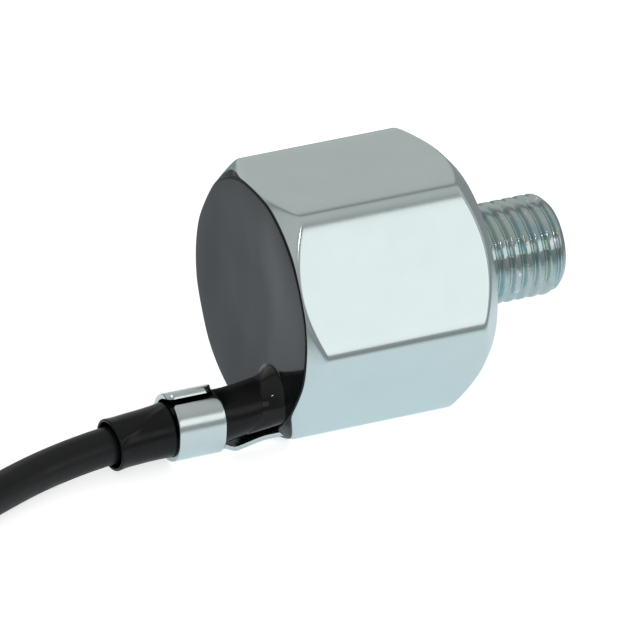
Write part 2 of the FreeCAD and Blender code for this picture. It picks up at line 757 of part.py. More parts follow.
def connector_housing():
    """Two-way sealed plug: collar for the wire seal, block, nose and a latch on top."""
    collar = bar("plug_collar", "sizes.plug_collar_radius", "sizes.plug_collar_length", PLUG_REAR,
                 PLUG_Y, PLUG_UP)
    block = soft_block("plug_block", "sizes.plug_round", PLUG_BLOCK, "sizes.plug_length", "sizes.plug_width",
                       "sizes.plug_height", "%s + sizes.plug_height / 2" % GROUND)
    nose = soft_block("plug_nose", "sizes.nose_round", PLUG_NOSE, "sizes.nose_length", "sizes.nose_width",
                      "sizes.nose_height")
    top = "%s + sizes.plug_height" % GROUND
    latch_start = PLUG_NOSE + " - sizes.latch_length"
    side = PLUG_Y + " - sizes.latch_width / 2"
    post = box("latch_post", (PLUG_NOSE + " - 2 * sizes.latch_thickness", side, top + " - sizes.latch_gap"),
               ("2 * sizes.latch_thickness", "sizes.latch_width", "2 * sizes.latch_gap + sizes.latch_thickness"))
    arm = box("latch_arm", (latch_start, side, top + " + sizes.latch_gap"),
              ("sizes.latch_length", "sizes.latch_width", "sizes.latch_thickness"))
    thumb = box("latch_thumb", (latch_start, side, top + " + sizes.latch_gap + sizes.latch_thickness"),
                ("2 * sizes.latch_thickness", "sizes.latch_width", "sizes.latch_thickness / 2"))
    ribs = [box("side_rib_%s" % label, (PLUG_BLOCK + " + sizes.plug_round",
                                        "%s + (%d) * sizes.plug_width / 2 - sizes.latch_gap / 2" % (PLUG_Y, way),
                                        "%s - sizes.latch_gap" % PLUG_UP),
                ("sizes.plug_length - 2 * sizes.plug_round", "sizes.latch_gap", "2 * sizes.latch_gap"))
            for label, way in (("right", -1), ("left", 1))]
    doc.recompute()
    outside = fuse("plug_outside", [collar, block, nose, post, arm, thumb] + ribs)
    seal_hole = bar("plug_seal_hole", "sizes.seal_bore", "sizes.seal_length", PLUG_REAR, PLUG_Y, PLUG_UP)
    lanes = [lane_block("plug_cavity_%s" % label, way, SEAL_END, "%s - (%s)" % (PLUG_TIP, SEAL_END),
                        "sizes.cavity_side")
             for label, way in (("right", -1), ("left", 1))]
    doc.recompute()
    return cut("connector_housing", outside, fuse("plug_holes", [seal_hole] + lanes))


def wire_seal():
    """Ribbed rubber seal between the cable and the connector's collar."""
    valley = "(sizes.seal_bore - sizes.seal_rib)"
    corners = [("0", "sizes.cable_radius")]
    ribs = 3
    for rib in range(ribs):
        start = "sizes.seal_length * %d / %d" % (2 * rib, 2 * ribs - 1)
        end = "sizes.seal_length * %d / %d" % (2 * rib + 1, 2 * ribs - 1)
        if rib:
            corners.append((start, valley))
        corners += [(start, "sizes.seal_bore"), (end, "sizes.seal_bore")]
        if rib < ribs - 1:
            corners.append((end, valley))
    corners.append(("sizes.seal_length", "sizes.cable_radius"))
    body = turned("wire_seal", corners)
    bind_place(body, PLUG_REAR, PLUG_Y, PLUG_UP)
    return body


def interface_seal():
    """Soft ring round the connector's nose."""
    grow = " + 2 * sizes.ring_thickness"
    outer = soft_block("ring_outside", "sizes.nose_round", PLUG_NOSE, "sizes.ring_width",
                       "sizes.nose_width" + grow, "sizes.nose_height" + grow)
    inner = soft_block("ring_inside", "sizes.nose_round", PLUG_NOSE, "sizes.ring_width",
                       "sizes.nose_width", "sizes.nose_height")
    return cut("interface_seal", outer, inner)


def terminal_lock():
    """Cap on the nose that keeps both terminals in, with a window for each pin."""
    plate = soft_block("lock_plate", "sizes.nose_round", PLUG_TIP, "sizes.lock_thickness",
                       "sizes.nose_width", "sizes.nose_height")
    windows = [lane_block("lock_window_%s" % label, way, PLUG_TIP, "sizes.lock_thickness",
                          "2.4 * sizes.terminal_bore")
               for label, way in (("right", -1), ("left", 1))]
    doc.recompute()
    return cut("terminal_lock", plate, fuse("lock_windows", windows))


def terminal(name, side):
    """Box-shaped socket contact along its whole cavity, from the cable's end to the lock."""
    length = "(%s - (%s))" % (PLUG_TIP, SEAL_END)
    shell = lane_block(name + "_box", side, SEAL_END, length, "sizes.terminal_side")
    pin_hole = bar(name + "_hole", "sizes.terminal_bore", length + " / 2",
                   "%s + %s / 2" % (SEAL_END, length), terminal_side(side), PLUG_UP)
    doc.recompute()
    return cut(name, shell, pin_hole)


def build():
    """Make every piece and return those that are written out."""
    housing = hex_housing()
    strap = strain_relief_strap()
    cable_path = path_feature("cable_path", placed(CABLE_ROUTE))
    sleeve_path = path_feature("sleeve_path", placed(CABLE_ROUTE[:4]))
    tail_path = path_feature("tail_path", placed(TAIL_ROUTE))
    sleeve_plug, sleeve = cable_sleeve(sleeve_path)
    cable_bar = sweep("cable_bar", cable_path, "sizes.cable_radius")
    coil = cable_coil()
    cable = cut("sensor_cable", cable_bar, coil)
    tail = cut("cable_tail", sweep("tail_bar", tail_path, "sizes.cable_radius"), coil)
    signal = inner_wire("signal_wire", -1, "sizes.signal_angle", UPPER_INSULATOR)
    ground = inner_wire("ground_wire", 1, "sizes.ground_angle", PIEZO)
    resistor = shunt_resistor()
    stack = clamp_stack()
    screw = clamp_screw()
    contacts = [piece for piece in stack if piece.Label in ("lower_contact", "upper_contact")]
    tools = [housing, sleeve_plug, cable_bar, strap, signal, ground, resistor, stack_envelope()] + contacts
    resin = potting_resin(tools)
    plug = [connector_housing(), wire_seal(), interface_seal(), terminal_lock(),
            terminal("terminal_right", -1), terminal("terminal_left", 1)]
    pieces = [housing, resin, strap, sleeve, cable, coil, tail, cable_tie()]
    return pieces + stack + [screw, resistor, signal, ground] + plug


def check_and_write(pieces):
    """Stop at any failed feature or bad solid, then write one file for each piece."""
    doc.recompute()
    for item in doc.Objects:
        if "Invalid" in item.State or "Error" in item.State:
            raise RuntimeError("%s failed: %s" % (item.Name, item.State))
    os.makedirs("parts", exist_ok=True)
    for piece in pieces:
        shape = piece.Shape
        if shape.isNull() or not shape.isValid() or not shape.Solids:
            raise RuntimeError("%s has no sound solid" % piece.Label)
        print("%-22s %2d solid %10.2f mm3" % (piece.Label, len(shape.Solids), shape.Volume))
        shape.exportStep("parts/%s.step" % piece.Label)


check_and_write(build())
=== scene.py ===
"""Looks of the engine knock sensor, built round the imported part.

Lengths are in metres in the part's own frame: the stud points along +X, +Z is up, the
origin is the centre of the seat face, and the part lies on the hexagon's lowest flat.
Angles round the body's axis start at +Z and turn towards -Y.
"""
import math

import bmesh
import bpy
from mathutils import Matrix, Vector, noise


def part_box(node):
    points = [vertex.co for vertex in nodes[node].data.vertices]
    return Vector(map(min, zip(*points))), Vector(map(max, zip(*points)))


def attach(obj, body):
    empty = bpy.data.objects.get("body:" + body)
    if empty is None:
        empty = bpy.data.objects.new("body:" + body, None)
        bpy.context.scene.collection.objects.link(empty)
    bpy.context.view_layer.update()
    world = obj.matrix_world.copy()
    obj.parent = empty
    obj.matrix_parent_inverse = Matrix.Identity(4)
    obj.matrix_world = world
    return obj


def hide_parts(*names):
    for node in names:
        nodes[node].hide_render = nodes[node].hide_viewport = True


MM = 0.001
JOIN_DISTANCE = 0.0005 * MM

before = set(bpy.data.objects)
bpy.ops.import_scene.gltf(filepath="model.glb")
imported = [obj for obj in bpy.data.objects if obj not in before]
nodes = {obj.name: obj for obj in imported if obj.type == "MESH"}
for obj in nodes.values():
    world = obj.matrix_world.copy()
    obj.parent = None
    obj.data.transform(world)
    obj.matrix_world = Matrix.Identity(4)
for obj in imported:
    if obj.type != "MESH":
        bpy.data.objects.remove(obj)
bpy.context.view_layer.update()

# Sizes read from the frame
housing_low, housing_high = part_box("hex_housing")
strap_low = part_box("strain_relief_strap")[0]
sleeve_low, sleeve_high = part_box("cable_sleeve")
coil_low, coil_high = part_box("cable_coil")
ACROSS_FLATS = housing_high.z - housing_low.z
GROUND = housing_low.z
RIM = housing_low.x
STUD_TIP = housing_high.x

# Body: sizes first, then how closely its rows and columns lie
EDGE_SOFTNESS = 0.37 * MM
EDGE_BLEND = 0.38 * MM
CHAMFER_SLOPE = 0.9
RIM_RADIUS = 12.1 * MM
RIM_WALL = 0.03 * MM
RIM_ROUND = 0.04 * MM
SEAT_RADIUS = 10.75 * MM
MOUTH_DEPTH = 0.65 * MM
BORE_RADIUS = 11.2 * MM
CAVITY_FLOOR = -6.0 * MM
CENTRE_RING = 0.1 * MM
SIDE_STEPS = 98
CROWDING = 0.25
FINE_STEP = 0.075 * MM
WIDE_STEPS = 10
ROUND_STEPS = 4
RIM_ZONE = 1.8 * MM
SEAT_ZONE = 3.0 * MM
BODY_CREASE = math.radians(55)

# Stud and its M10x1.25 thread; the run-in at the foot is where the thread starts shallow
STUD_RADIUS = 4.9 * MM
STUD_CHAMFER = 0.7 * MM
TIP_SLOPE = 0.9
TIP_BLEND = 0.3 * MM
THREAD_PITCH = 1.25 * MM
THREAD_DEPTH = 0.46 * MM
CREST_SHARE = 0.3
CROWN_SHARE = 0.10
RUN_IN_DEPTH = 0.6
RUN_IN_LENGTH = 0.8 * THREAD_PITCH
THREAD_COLUMNS = 180
ROWS_PER_PITCH = 20
FOOT_DISC = 0.6 * STUD_RADIUS
TIP_DISC = 0.5 * STUD_RADIUS
SOCKET_RADIUS = STUD_RADIUS - THREAD_DEPTH - 0.3 * MM
SOCKET_DEPTH = STUD_RADIUS / 4
PLATE_BORDER = 0.01 * MM

# Resin: its dished face and its lip
DIP = 0.25 * MM
DIP_WIDTH = 8.0 * MM
LIP = 0.12 * MM
LIP_WIDTH = 0.25 * MM

# Its climb on the sleeve, which is deeper and fuller below the sleeve than on top
CLIMB_HEIGHT = 2.0 * MM
DEEP_CLIMB = 3.4 * MM
CLIMB_REACH = 0.9 * MM
CLIMB_SHARE = 0.85
DEEP_FULLNESS = 0.22
DEEP_FROM = 0.1
DEEP_WIDTH = 0.9
SKIN_GAP = 0.02 * MM
SKIN_TUCK = 0.2 * MM

# Its spill over the rim, at the sleeve's corner and less at the far upper one
SPILL_LENGTH = 1.35 * MM
FAR_SPILL = 0.7 * MM
SPILL_BULGE = 0.3 * MM
FAR_BULGE = 0.15
BULGE_FROM = 8.0 * MM
BULGE_WIDTH = 3.5 * MM
SPILL_POWER = 1.3
SPILL_LEAN = 0.75
SPILL_TUCK = 0.05 * MM

# How closely its rows and columns lie
RESIN_COLUMNS = 360
CLIMB_ROWS = 24
FACE_ROWS = 40
SPILL_ROWS = 16
HALVINGS = 30
RESIN_CREASE = math.radians(50)

# Arcs of the spill, in degrees round the body: where it rises and over how much, then where
# it falls and over how much; first for how much of it there is, then for how far it runs
SLEEVE_ARC = (124, 14, 163, 14)
FAR_ARC = (306, 16, 338, 16)
SLEEVE_RUN = (126, 27, 160, 18)
FAR_RUN = (308, 22, 328, 24)

# Cable; the cord's length is that of its route
CABLE_SIDE = -5.2 * MM
CABLE_DIAMETER = 3.7 * MM
CURVE_STEPS = 24
BEVEL_STEPS = 10

# Sleeve: it swells where the clip squeezes it, waves a little and has one long fold
SLEEVE_RADIUS = 2.5 * MM
SLEEVE_BORE = 2.05 * MM
SLEEVE_COLUMNS = 96
SLEEVE_ROWS = 150
MOUTH_WALL = 0.3 * MM
MOUTH_ROWS = 8
MOUTH_SETBACK = 0.4 * MM
BORE_RUN = 2.5 * MM
BORE_SKIP = 4
SWELL = 0.14 * MM
SWELL_ON_TOP = 0.22 * MM
SWELL_REACH = 1.1 * MM
SWELL_START = 0.25 * MM
WAVE_HEIGHT = 0.07 * MM
WAVES_ALONG = 160
WAVES_ROUND = 1.3
FOLD_HEIGHT = 0.13 * MM
FOLD_WIDTH = 0.13
FOLD_START = 0.1
FOLD_END = 1.0
FOLD_FADE = 0.15
FLARE = 0.10 * MM
FLARE_RUN = 1.5 * MM

# Strap: tips in degrees from straight up; tongue stations in millimetres from the clip
SHEET = 0.5 * MM
SHEET_EDGE = 0.06 * MM
GROUND_GAP = 0.05 * MM
CLIP_INSIDE = 2.52 * MM
CLIP_RISE = 0.6 * MM
CLIP_LENGTH = 4.85 * MM
CLIP_STEPS = 16
CLIP_ROWS = 24
NEAR_TIP = 25.0
REAR_TIP = 8.0
REAR_TIP_INSIDE = 1.0
WING_ROUND = 0.8 * MM
SMALL_ROUND = 0.25 * WING_ROUND
TONGUE_WIDTH = 2.8 * MM
TONGUE_BAND = 0.95 * TONGUE_WIDTH
TONGUE_STEP = 0.65 * MM
TONGUE_RUN = 4.2 * MM
RISE_FROM = 1.2 * MM
NARROW_RUN = 1.0 * MM
NARROW_POWER = 0.6
FLAT_RUN = 2.0 * MM
TONGUE_STATIONS = [0.1, 0.25, 0.4, 0.6, 0.8, 1.0, 1.3, 1.7, 2.1, 2.5, 2.9, 3.3, 3.7, 4.1, 4.5,
                   5.0, 6.0, 8.0, 9.85]

# The cable's route, given point by point: from the resin to the coil, and from the coil on;
# X from the rim, Y from the sleeve's side of the body, Z above what the part lies on
CABLE_ROUTE = [
    Vector((0.0038, 0.0, 0.0050)),
    Vector((-0.0057, 0.0, 0.00315)),
    Vector((-0.0157, 0.0, 0.00305)),
    Vector((-0.0242, -0.0007, 0.00215)),
    Vector((-0.0322, -0.0040, 0.0019)),
    Vector((-0.0417, -0.0088, 0.0020)),
    Vector((-0.0502, -0.0112, 0.00245)),
]
TAIL_ROUTE = [
    Vector((-0.0658, 0.0277, 0.00615)),
    Vector((-0.0599, 0.0302, 0.0057)),
    Vector((-0.0517, 0.0319, 0.0053)),
    Vector((-0.0462, 0.0319, 0.0053)),
    Vector((-0.0402, 0.0319, 0.0053)),
]


def between(low, high, share):
    """The value at a share of the way from low to high."""
    return low + (high - low) * share


def clamp(value, low=0.0, high=1.0):
    """A value held between two limits."""
    return max(low, min(high, value))


def ease(share):
    """0 to 1 with no slope at either end."""
    share = clamp(share)
    return share * share * (3 - 2 * share)


def soft_min(first, second, width):
    """The smaller of two values, rounded where they cross."""
    overlap = max(width - abs(first - second), 0.0)
    return min(first, second) - overlap * overlap / (4 * width)


def round_body(radius, angle):
    """Y and Z at a radius and an angle round the body's axis."""
    return -radius * math.sin(angle), radius * math.cos(angle)


def new_mesh(name, points, faces):
    """A smooth piece on the root body: doubled points joined, faces turned outward."""
    mesh = bpy.data.meshes.new(name)
    mesh.from_pydata([tuple(p) for p in points], [], faces)
    mesh.validate()
    shell = bmesh.new()
    shell.from_mesh(mesh)
    bmesh.ops.remove_doubles(shell, verts=shell.verts, dist=JOIN_DISTANCE)
    bmesh.ops.recalc_face_normals(shell, faces=shell.faces)
    shell.to_mesh(mesh)
    shell.free()
    mesh.shade_smooth()
    piece = bpy.data.objects.new(name, mesh)
    bpy.context.scene.collection.objects.link(piece)
    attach(piece, "root")
    return piece


def soften(piece, width, segments, angle):
    """Rounds the edges of a piece that are sharper than an angle in degrees."""
    edge = piece.modifiers.new("edge", "BEVEL")
    edge.width = width
    edge.segments = segments
    edge.limit_method = "ANGLE"
    edge.angle_limit = math.radians(angle)


def grid_faces(rows, columns, closed=True):
    """Quads between rows of points; a closed row joins its last point to its first."""
    faces = []
    for row in range(rows - 1):
        for column in range(columns if closed else columns - 1):
            ahead = (column + 1) % columns
            low = row * columns
            faces.append((low + column, low + ahead, low + columns + ahead, low + columns + column))
    return faces


def end_cap(start, columns, flip):
    """One face that closes a row of points."""
    row = list(range(start, start + columns))
    return tuple(reversed(row)) if flip else tuple(row)


def solid_grid(rows):
    """Points and faces of a closed skin from closed rows of points."""
    columns = len(rows[0])
    points = [point for row in rows for point in row]
    faces = grid_faces(len(rows), columns)
    faces.append(end_cap(0, columns, True))
    faces.append(end_cap((len(rows) - 1) * columns, columns, False))
    return points, faces


# Camera: the photograph's, found by fitting the body's edges
CAMERA_AIM = Vector((-13.39, 0.0, -3.5)) * MM
CAMERA_DISTANCE = 1.146
CAMERA_AZIMUTH = 27.11
CAMERA_ELEVATION = 28.29
CAMERA_ROLL = 2.07
CAMERA_LENS = 676.65
SENSOR = 36.0
CAMERA_NEAR = 0.05
CAMERA_FAR = 50.0


def turn_of_view(azimuth, elevation, roll=0.0):
    """Rotation of something that looks at the part from an azimuth and elevation in degrees."""
    about = Matrix.Rotation(-math.radians(azimuth), 4, "Z")
    tilt = Matrix.Rotation(math.radians(90 - elevation), 4, "X")
    return about @ tilt @ Matrix.Rotation(math.radians(roll), 4, "Z")


def add_camera():
    """A long lens at the photograph's place."""
    data = bpy.data.cameras.new("camera")
    data.lens = CAMERA_LENS
    data.sensor_width = SENSOR
    data.clip_start = CAMERA_NEAR
    data.clip_end = CAMERA_FAR
    camera = bpy.data.objects.new("camera", data)
    turn = turn_of_view(CAMERA_AZIMUTH, CAMERA_ELEVATION, CAMERA_ROLL)
    back = turn.to_3x3() @ Vector((0, 0, 1))
    camera.matrix_world = Matrix.Translation(CAMERA_AIM + back * CAMERA_DISTANCE) @ turn
    bpy.context.scene.collection.objects.link(camera)
    bpy.context.scene.camera = camera


# Coil: the turns start where the route meets the ring and end above its far side
COIL_START = 270.0
COIL_TRAVEL = 500.0
COIL_STEPS = 19
CLIMB_START = 250.0
CLIMB_TRAVEL = 75.0
COIL_LOW = coil_low.z + CABLE_DIAMETER / 2
COIL_HIGH = coil_high.z - CABLE_DIAMETER / 2


def coil_points():
    """Control points of the stored turns, clockwise from above, the second on the first."""
    middle = (coil_low + coil_high) / 2
    radius = (coil_high.x - coil_low.x) / 2 - CABLE_DIAMETER / 2
    step = COIL_TRAVEL / COIL_STEPS
    reach = radius / math.sqrt(math.cos(math.radians(step / 2)))
    points = []
    for index in range(COIL_STEPS + 1):
        travel = step * index
        angle = math.radians(COIL_START - travel)
        height = between(COIL_LOW, COIL_HIGH, clamp((travel - CLIMB_START) / CLIMB_TRAVEL))
        points.append(Vector((middle.x + reach * math.cos(angle),
                              middle.y + reach * math.sin(angle), height)))
    return points


def placed(route):
    """A route's points, counted from the rim, the sleeve's side and the ground."""
    origin = Vector((RIM, CABLE_SIDE, GROUND))
    return [origin + point for point in route]


def whole_route():
    """The route from inside the resin, round the coil and into the connector."""
    return placed(CABLE_ROUTE) + coil_points() + placed(TAIL_ROUTE)


def smooth_curve(name, points, radius):
    """A curve of one smooth spline whose control points are the route's."""
    data = bpy.data.curves.new(name, "CURVE")
    data.dimensions = "3D"
    spline = data.splines.new("NURBS")
    spline.points.add(len(points) - 1)
    for held, point in zip(spline.points, points):
        held.co = (*point, 1.0)
        held.radius = radius
    spline.order_u = 3
    spline.use_endpoint_u = True
    data.resolution_u = CURVE_STEPS
    data.bevel_depth = 1.0 if radius else 0.0
    data.bevel_resolution = BEVEL_STEPS
    data.use_fill_caps = True
    piece = bpy.data.objects.new(name, data)
    bpy.context.scene.collection.objects.link(piece)
    return piece


def line_of(points):
    """Points along the route's smooth spline."""
    guide = smooth_curve("guide", points, 0.0)
    mesh = bpy.data.meshes.new_from_object(guide)
    line = [v.co.copy() for v in mesh.vertices]
    bpy.data.objects.remove(guide)
    return line


def add_cable():
    """The whole cable as one cord."""
    cable = smooth_curve("cable", whole_route(), CABLE_DIAMETER / 2)
    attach(cable, "root")
    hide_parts("sensor_cable", "cable_coil", "cable_tail")
    cable.data.materials.append(cable_rubber())


class Axis:
    """The cable's line near the body, read from its route's spline."""

    def __init__(self):
        self.line = line_of(whole_route())

    def at(self, station):
        """The point of the line at a station along X; its start is carried on straight."""
        for first, second in zip(self.line, self.line[1:]):
            if second.x <= station <= first.x:
                return first.lerp(second, (station - first.x) / (second.x - first.x))
        first, second = self.line[:2]
        return first + (second - first) * ((station - first.x) / (second.x - first.x))


# Shape of the body


def hexagon_radius(angle):
    """Distance from the axis to the hexagon, whose flats roll off softly into the edges."""
    half = ACROSS_FLATS / 2
    offset = (angle + math.pi / 6) % (math.pi / 3) - math.pi / 6
    near = half / math.cos(offset)
    far = half / math.cos(math.pi / 3 - abs(offset))
    return near - EDGE_SOFTNESS * math.log(1 + math.exp((near - far) / EDGE_SOFTNESS))


def body_angles():
    """Angles of the body's columns, closer together round the edges than on the flats."""
    angles = []
    for side in range(6):
        for step in range(SIDE_STEPS):
            share = between(-1.0, 1.0, step / SIDE_STEPS)
            crowded = (1 + CROWDING) * share - CROWDING * share ** 3
            angles.append(math.pi / 3 * side + math.pi / 6 * crowded)
    return angles


def body_radius(station, angle):
    """Distance from the axis to the body's outside: hexagon and the two chamfers."""
    rim_cone = RIM_RADIUS + (station - RIM) / CHAMFER_SLOPE
    seat_cone = SEAT_RADIUS - station / CHAMFER_SLOPE
    radius = soft_min(hexagon_radius(angle), rim_cone, EDGE_BLEND)
    return soft_min(radius, seat_cone, EDGE_BLEND)


def outside_row(station, inset, angles):
    """One row round the body's outside."""
    return [(station, *round_body(body_radius(station, angle) - inset, angle)) for angle in angles]


def round_row(station, radius, angles):
    """One circular row."""
    return [(station, *round_body(radius, angle)) for angle in angles]


def body_stations():
    """Stations of the rows outside: fine over the chamfers, wide between them."""
    rows = round(RIM_ZONE / FINE_STEP)
    stations = [RIM + RIM_ROUND + FINE_STEP * k for k in range(1, rows)]
    start = stations[-1]
    stations += [between(start, -SEAT_ZONE, k / WIDE_STEPS) for k in range(1, WIDE_STEPS)]
    rows = round(SEAT_ZONE / FINE_STEP)
    stations += [between(-SEAT_ZONE, -RIM_ROUND, k / rows) for k in range(rows)]
    return stations


def housing_rows(angles):
    """Rows of the cup from the cavity's floor round the rim to the seat."""
    quarter = [math.pi / 2 * k / ROUND_STEPS for k in range(ROUND_STEPS + 1)]
    rows = [round_row(CAVITY_FLOOR, CENTRE_RING, angles),
            round_row(CAVITY_FLOOR, BORE_RADIUS, angles),
            round_row(RIM + MOUTH_DEPTH, BORE_RADIUS, angles),
            outside_row(RIM, RIM_ROUND + RIM_WALL, angles)]
    for turn in quarter:
        station = RIM + RIM_ROUND * (1 - math.cos(turn))
        rows.append(outside_row(station, RIM_ROUND * (1 - math.sin(turn)), angles))
    for station in body_stations():
        rows.append(outside_row(station, 0.0, angles))
    for turn in quarter:
        station = -RIM_ROUND * (1 - math.sin(turn))
        rows.append(outside_row(station, RIM_ROUND * (1 - math.cos(turn)), angles))
    rows.append(round_row(0.0, SEAT_RADIUS - 2 * RIM_ROUND, angles))
    rows.append(round_row(0.0, SOCKET_RADIUS, angles))
    rows.append(round_row(-SOCKET_DEPTH, SOCKET_RADIUS, angles))
    return rows


def thread_depth_at(share):
    """How far below the crest the thread is, over one pitch: a crowned crest, a rounded groove."""
    from_crest = abs((share + 0.5) % 1.0 - 0.5) * 2
    crown = CROWN_SHARE * from_crest ** 2
    groove = ease((from_crest - CREST_SHARE) / (1 - CREST_SHARE))
    return THREAD_DEPTH * (crown + (1 - CROWN_SHARE) * groove)


def stud_station(index, turn):
    """Station of a row at a place round the stud; rows follow the helix and stop at both ends."""
    return clamp(THREAD_PITCH * (index / ROWS_PER_PITCH + turn - 1), 0.0, STUD_TIP)


def stud_skin(station, turn):
    """Radius of the threaded stud, with its run-in at the foot and the chamfer at the tip."""
    depth = thread_depth_at(station / THREAD_PITCH - turn)
    run_in = between(RUN_IN_DEPTH, 1.0, ease(station / RUN_IN_LENGTH))
    cone = STUD_RADIUS - TIP_SLOPE * (station - (STUD_TIP - STUD_CHAMFER))
    return soft_min(STUD_RADIUS - depth * run_in, cone, TIP_BLEND)


def stud_grid():
    """Points and faces of the stud; once round, a row meets the one a pitch further on."""
    columns = THREAD_COLUMNS
    count = int((STUD_TIP / THREAD_PITCH + 1) * ROWS_PER_PITCH) + 1
    points = []
    for index in range(count):
        for column in range(columns):
            turn = column / columns
            station = stud_station(index, turn)
            points.append((station, *round_body(stud_skin(station, turn), 2 * math.pi * turn)))
    faces = grid_faces(count, columns, closed=False)
    for index in range(count - 1):
        low = index * columns + columns - 1
        ahead = min(index + ROWS_PER_PITCH, count - 1) * columns
        above = min(index + 1 + ROWS_PER_PITCH, count - 1) * columns
        faces.append((low, ahead, above, low + columns))
    angles = [2 * math.pi * column / columns for column in range(columns)]
    ends = [(0.0, FOOT_DISC, 0, True), (STUD_TIP, TIP_DISC, count - 1, False)]
    for station, radius, row, flip in ends:
        first = len(points)
        points += round_row(station, radius, angles)
        for column in range(columns):
            ahead = (column + 1) % columns
            ring = (row * columns + column, row * columns + ahead, first + ahead, first + column)
            faces.append(tuple(reversed(ring)) if flip else ring)
        faces.append(end_cap(first, columns, flip))
    return points, faces


def add_housing():
    """The cup with its stud; the stud has its own plate."""
    body_points, body_faces = solid_grid(housing_rows(body_angles()))
    stud_points, stud_faces = stud_grid()
    shift = len(body_points)
    faces = body_faces + [tuple(shift + corner for corner in face) for face in stud_faces]
    housing = new_mesh("threaded_housing", body_points + stud_points, faces)
    housing.data.materials.append(zinc_plate())
    housing.data.materials.append(stud_plate())
    for polygon in housing.data.polygons:
        polygon.material_index = 1 if polygon.center.x > PLATE_BORDER else 0
    housing.data.set_sharp_from_angle(angle=BODY_CREASE)
    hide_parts("hex_housing")


# Resin


def lobe(angle, arc):
    """A smooth hump over an arc round the body: 0 to 1 and back."""
    rise_from, rise, fall_from, fall = arc
    turn = math.degrees(angle) % 360
    return ease((turn - rise_from) / rise) * (1 - ease((turn - fall_from) / fall))


def spill_share(angle):
    """How much of the spill over the rim there is at an angle round the body, 0 to 1."""
    return max(lobe(angle, SLEEVE_ARC), lobe(angle, FAR_ARC))


def spill_length(angle):
    """How far the spill runs along the body from the rim."""
    return SPILL_LENGTH * lobe(angle, SLEEVE_RUN) + FAR_SPILL * lobe(angle, FAR_RUN)


def resin_edge(angle):
    """Radius of the resin's outline: at the rim, and out to its full circle where it spills."""
    return between(body_radius(RIM, angle) - RIM_ROUND, RIM_RADIUS, spill_share(angle))


def reach_of_resin(centre, direction):
    """Distance from the sleeve's centre to the resin's outline seen along the axis."""
    low, high = 0.0, ACROSS_FLATS
    for _ in range(HALVINGS):
        middle = (low + high) / 2
        y, z = centre.y + direction[0] * middle, centre.z + direction[1] * middle
        if math.hypot(y, z) < resin_edge(math.atan2(-y, z)):
            low = middle
        else:
            high = middle
    return low


def face_station(y, z):
    """Station of the resin's face: slightly dished, rounded off at the rim, proud at the spill."""
    radius = math.hypot(y, z)
    angle = math.atan2(-y, z)
    from_edge = max(resin_edge(angle) - radius, 0.0)
    dip = DIP * ease((from_edge - LIP_WIDTH) / DIP_WIDTH)
    lip = LIP * math.sqrt(max(1 - (1 - clamp(from_edge / LIP_WIDTH)) ** 2, 0.0))
    spill = lobe(angle, SLEEVE_ARC) * ease((radius - BULGE_FROM) / BULGE_WIDTH)
    return RIM + (dip - lip) * (1 - spill) - SPILL_BULGE * spill


def climb_of(direction, reach):
    """Height and width of the climb on the sleeve in a direction across it, and how full it is."""
    below = ease((DEEP_FROM - direction[1]) / DEEP_WIDTH)
    height = between(CLIMB_HEIGHT, DEEP_CLIMB, below)
    width = min(CLIMB_REACH, CLIMB_SHARE * (reach - SLEEVE_RADIUS))
    return height, width, between(1.0, DEEP_FULLNESS, below)


def spill_point(y, z, share):
    """A point of the skin that runs from the resin's outline over the rim onto the body."""
    angle = math.atan2(-y, z)
    amount = spill_share(angle)
    along = spill_length(angle) * share ** SPILL_POWER
    bulge = between(FAR_BULGE, 1.0, lobe(angle, SLEEVE_ARC)) * SPILL_BULGE
    proud = bulge * amount * math.sqrt(max(1 - share ** 2, 0.0)) - SPILL_TUCK * share ** 4
    lean = SPILL_LEAN * (1 - share)
    radius = between(resin_edge(angle), body_radius(RIM + along, angle), amount)
    radius += proud * math.sqrt(1 - lean ** 2)
    return (RIM + along - proud * lean, *round_body(radius, angle))


def climb_rows(axis, rays):
    """Rows of the climb, from just inside the sleeve's skin down to the face."""
    rows = []
    for index in range(-1, CLIMB_ROWS):
        turn = math.pi / 2 * (1 - max(index, 0) / CLIMB_ROWS)
        gap = SKIN_GAP if index >= 0 else -SKIN_TUCK
        row = []
        for direction, reach in rays:
            height, width, fullness = climb_of(direction, reach)
            climb = height * (1 - math.cos(turn))
            radius = SLEEVE_RADIUS + width * (1 - math.sin(turn)) ** fullness + gap
            middle = axis.at(RIM - climb)
            y, z = middle.y + radius * direction[0], middle.z + radius * direction[1]
            row.append((face_station(y, z) - climb, y, z))
        rows.append(row)
    return rows


def face_rows(centre, rays):
    """Rows of the face, from the foot of the climb out to the resin's outline."""
    rows = []
    for index in range(FACE_ROWS + 1):
        share = index / FACE_ROWS
        row = []
        for direction, reach in rays:
            start = SLEEVE_RADIUS + climb_of(direction, reach)[1] + SKIN_GAP
            radius = between(start, reach, share * (2 - share))
            y, z = centre.y + radius * direction[0], centre.z + radius * direction[1]
            row.append((face_station(y, z), y, z))
        rows.append(row)
    return rows


